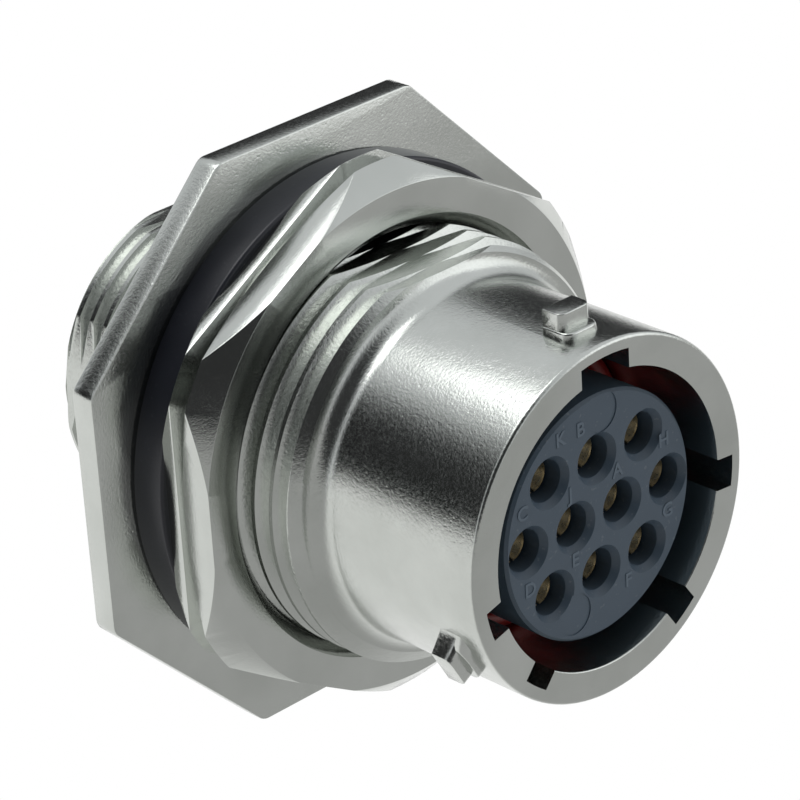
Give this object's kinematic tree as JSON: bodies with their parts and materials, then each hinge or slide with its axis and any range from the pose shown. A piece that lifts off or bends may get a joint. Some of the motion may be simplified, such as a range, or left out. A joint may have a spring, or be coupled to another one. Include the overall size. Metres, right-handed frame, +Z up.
{
  "type": "bayonet coupling panel connector receptacle",
  "caption": "Jam-nut panel receptacle of a bayonet-coupling circular electrical connector, with a flanged metal shell, keyed mating end, panel seal and socket contacts.",
  "frame": {"origin": "on the connector's axis, in the plane of the flange's front face, where the flange seats behind the panel", "axes": "-Y along the connector's axis out of the mating end; +Y out of the wire end; +Z up through the wide master keyway and the upper bayonet lug; +X to the right as seen by the mating plug"},
  "size_m": [0.0318, 0.0315, 0.0318],
  "materials": {
    "shell": "satin nickel plate on a die casting",
    "nut": "bright nickel plate",
    "panel_seal": "semi-gloss moulded silicone",
    "nose_seal": "semi-gloss red silicone",
    "insert": "satin moulded",
    "rear_insert": "matt moulded",
    "grommet": "matt",
    "ring": "bright spring steel",
    "contact": "gold plate on copper alloy",
    "clip": "stamped beryllium copper"
  },
  "bodies": {
    "receptacle": {"shell": "shell", "panel_seal": "panel_seal", "nose_seal": "nose_seal", "front_insert": "insert", "clip_disc": "rear_insert", "rear_insert": "rear_insert", "retaining_ring": "ring", "wire_grommet": "grommet", "socket_a": "contact", "socket_b": "contact", "socket_c": "contact", "socket_d": "contact", "socket_e": "contact", "socket_f": "contact", "socket_g": "contact", "socket_h": "contact", "socket_j": "contact", "socket_k": "contact", "clip_a": "clip", "clip_b": "clip", "clip_c": "clip", "clip_d": "clip", "clip_e": "clip", "clip_f": "clip", "clip_g": "clip", "clip_h": "clip", "clip_j": "clip", "clip_k": "clip"},
    "nut": {"jam_nut": "nut"}
  },
  "joints": [
    {"name": "nut_travel", "type": "slide", "parent": "receptacle", "child": "nut", "axis": [0, -1, 0], "range_m": [0, 0.0061]}
  ]
}
